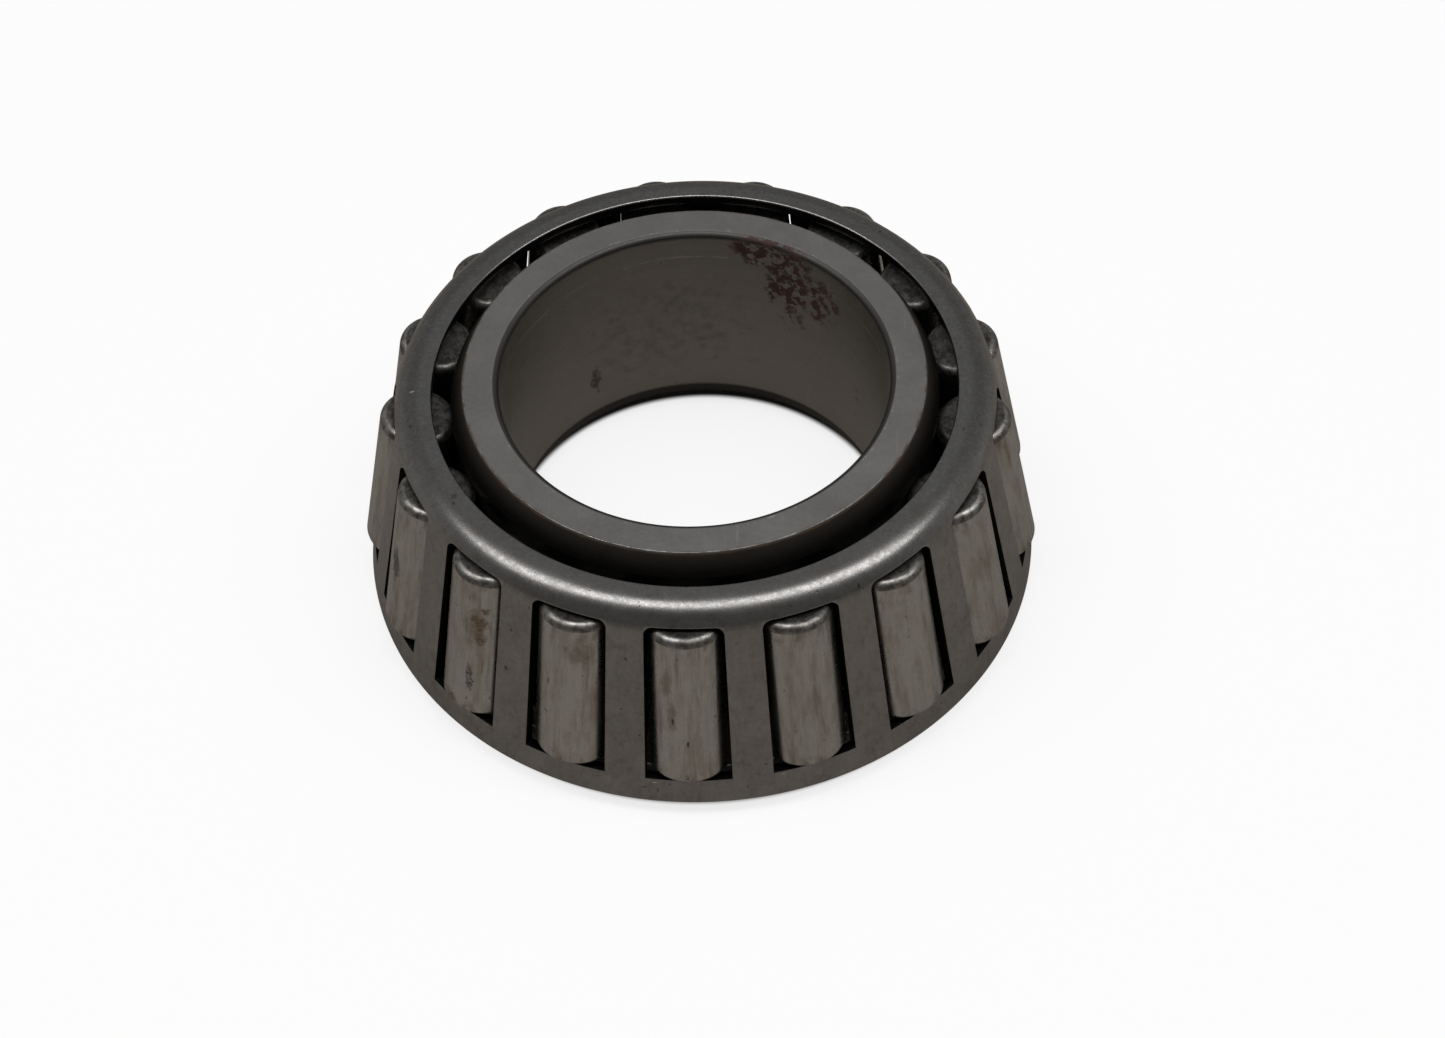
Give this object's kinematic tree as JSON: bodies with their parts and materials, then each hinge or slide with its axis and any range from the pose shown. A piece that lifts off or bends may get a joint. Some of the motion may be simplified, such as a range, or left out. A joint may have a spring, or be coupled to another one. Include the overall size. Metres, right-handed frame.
{
  "type": "tapered roller bearing",
  "caption": "Tapered roller bearing inner assembly: a steel inner ring with a round bore, tapered rollers and a pressed steel window cage, without its outer ring.",
  "frame": {"origin": "centre of the inner ring's large back face, which it stands on", "axes": "+Z along the bore axis, from the large back face to the small front face; the first roller is on the -Y side"},
  "size_m": [0.0682, 0.0683, 0.0257],
  "materials": {
    "ring_steel": "ground hardened steel, fine scratches, a patch of old rust in the bore",
    "roller_steel": "ground hardened steel with light brown stains, matt dark ends",
    "cage_steel": "tumbled pressed steel, mottled satin grey"
  },
  "bodies": {
    "inner_ring": {"inner_ring": "ring_steel"},
    "cage": {"cage": "cage_steel"},
    "roller_01": {"roller_01": "roller_steel"},
    "roller_02": {"roller_02": "roller_steel"},
    "roller_03": {"roller_03": "roller_steel"},
    "roller_04": {"roller_04": "roller_steel"},
    "roller_05": {"roller_05": "roller_steel"},
    "roller_06": {"roller_06": "roller_steel"},
    "roller_07": {"roller_07": "roller_steel"},
    "roller_08": {"roller_08": "roller_steel"},
    "roller_09": {"roller_09": "roller_steel"},
    "roller_10": {"roller_10": "roller_steel"},
    "roller_11": {"roller_11": "roller_steel"},
    "roller_12": {"roller_12": "roller_steel"},
    "roller_13": {"roller_13": "roller_steel"},
    "roller_14": {"roller_14": "roller_steel"},
    "roller_15": {"roller_15": "roller_steel"},
    "roller_16": {"roller_16": "roller_steel"},
    "roller_17": {"roller_17": "roller_steel"}
  },
  "joints": [
    {"name": "cage_spin", "type": "hinge", "parent": "inner_ring", "child": "cage", "pos_m": [0, 0, 0], "axis": [0, 0, 1], "continuous": true},
    {"name": "roller_01_spin", "type": "hinge", "parent": "cage", "child": "roller_01", "pos_m": [0, -0.02868, 0.0133], "axis": [0, 0.1727, 0.985], "continuous": true},
    {"name": "roller_02_spin", "type": "hinge", "parent": "cage", "child": "roller_02", "pos_m": [0.01036, -0.02675, 0.0133], "axis": [-0.0624, 0.161, 0.985], "continuous": true},
    {"name": "roller_03_spin", "type": "hinge", "parent": "cage", "child": "roller_03", "pos_m": [0.01932, -0.0212, 0.0133], "axis": [-0.1163, 0.1276, 0.985], "continuous": true},
    {"name": "roller_04_spin", "type": "hinge", "parent": "cage", "child": "roller_04", "pos_m": [0.02568, -0.01279, 0.0133], "axis": [-0.1546, 0.077, 0.985], "continuous": true},
    {"name": "roller_05_spin", "type": "hinge", "parent": "cage", "child": "roller_05", "pos_m": [0.02856, -0.00265, 0.0133], "axis": [-0.1719, 0.0159, 0.985], "continuous": true},
    {"name": "roller_06_spin", "type": "hinge", "parent": "cage", "child": "roller_06", "pos_m": [0.02759, 0.00785, 0.0133], "axis": [-0.1661, -0.0473, 0.985], "continuous": true},
    {"name": "roller_07_spin", "type": "hinge", "parent": "cage", "child": "roller_07", "pos_m": [0.02289, 0.01729, 0.0133], "axis": [-0.1378, -0.1041, 0.985], "continuous": true},
    {"name": "roller_08_spin", "type": "hinge", "parent": "cage", "child": "roller_08", "pos_m": [0.0151, 0.02439, 0.0133], "axis": [-0.0909, -0.1468, 0.985], "continuous": true},
    {"name": "roller_09_spin", "type": "hinge", "parent": "cage", "child": "roller_09", "pos_m": [0.00527, 0.0282, 0.0133], "axis": [-0.0317, -0.1697, 0.985], "continuous": true},
    {"name": "roller_10_spin", "type": "hinge", "parent": "cage", "child": "roller_10", "pos_m": [-0.00527, 0.0282, 0.0133], "axis": [0.0317, -0.1697, 0.985], "continuous": true},
    {"name": "roller_11_spin", "type": "hinge", "parent": "cage", "child": "roller_11", "pos_m": [-0.0151, 0.02439, 0.0133], "axis": [0.0909, -0.1468, 0.985], "continuous": true},
    {"name": "roller_12_spin", "type": "hinge", "parent": "cage", "child": "roller_12", "pos_m": [-0.02289, 0.01729, 0.0133], "axis": [0.1378, -0.1041, 0.985], "continuous": true},
    {"name": "roller_13_spin", "type": "hinge", "parent": "cage", "child": "roller_13", "pos_m": [-0.02759, 0.00785, 0.0133], "axis": [0.1661, -0.0473, 0.985], "continuous": true},
    {"name": "roller_14_spin", "type": "hinge", "parent": "cage", "child": "roller_14", "pos_m": [-0.02856, -0.00265, 0.0133], "axis": [0.1719, 0.0159, 0.985], "continuous": true},
    {"name": "roller_15_spin", "type": "hinge", "parent": "cage", "child": "roller_15", "pos_m": [-0.02568, -0.01279, 0.0133], "axis": [0.1546, 0.077, 0.985], "continuous": true},
    {"name": "roller_16_spin", "type": "hinge", "parent": "cage", "child": "roller_16", "pos_m": [-0.01932, -0.0212, 0.0133], "axis": [0.1163, 0.1276, 0.985], "continuous": true},
    {"name": "roller_17_spin", "type": "hinge", "parent": "cage", "child": "roller_17", "pos_m": [-0.01036, -0.02675, 0.0133], "axis": [0.0624, 0.161, 0.985], "continuous": true}
  ],
  "couplings": [
    {"joint": "roller_01_spin", "follows": "cage_spin", "ratio": 6.3012},
    {"joint": "roller_02_spin", "follows": "cage_spin", "ratio": 6.3012},
    {"joint": "roller_03_spin", "follows": "cage_spin", "ratio": 6.3012},
    {"joint": "roller_04_spin", "follows": "cage_spin", "ratio": 6.3012},
    {"joint": "roller_05_spin", "follows": "cage_spin", "ratio": 6.3012},
    {"joint": "roller_06_spin", "follows": "cage_spin", "ratio": 6.3012},
    {"joint": "roller_07_spin", "follows": "cage_spin", "ratio": 6.3012},
    {"joint": "roller_08_spin", "follows": "cage_spin", "ratio": 6.3012},
    {"joint": "roller_09_spin", "follows": "cage_spin", "ratio": 6.3012},
    {"joint": "roller_10_spin", "follows": "cage_spin", "ratio": 6.3012},
    {"joint": "roller_11_spin", "follows": "cage_spin", "ratio": 6.3012},
    {"joint": "roller_12_spin", "follows": "cage_spin", "ratio": 6.3012},
    {"joint": "roller_13_spin", "follows": "cage_spin", "ratio": 6.3012},
    {"joint": "roller_14_spin", "follows": "cage_spin", "ratio": 6.3012},
    {"joint": "roller_15_spin", "follows": "cage_spin", "ratio": 6.3012},
    {"joint": "roller_16_spin", "follows": "cage_spin", "ratio": 6.3012},
    {"joint": "roller_17_spin", "follows": "cage_spin", "ratio": 6.3012}
  ]
}
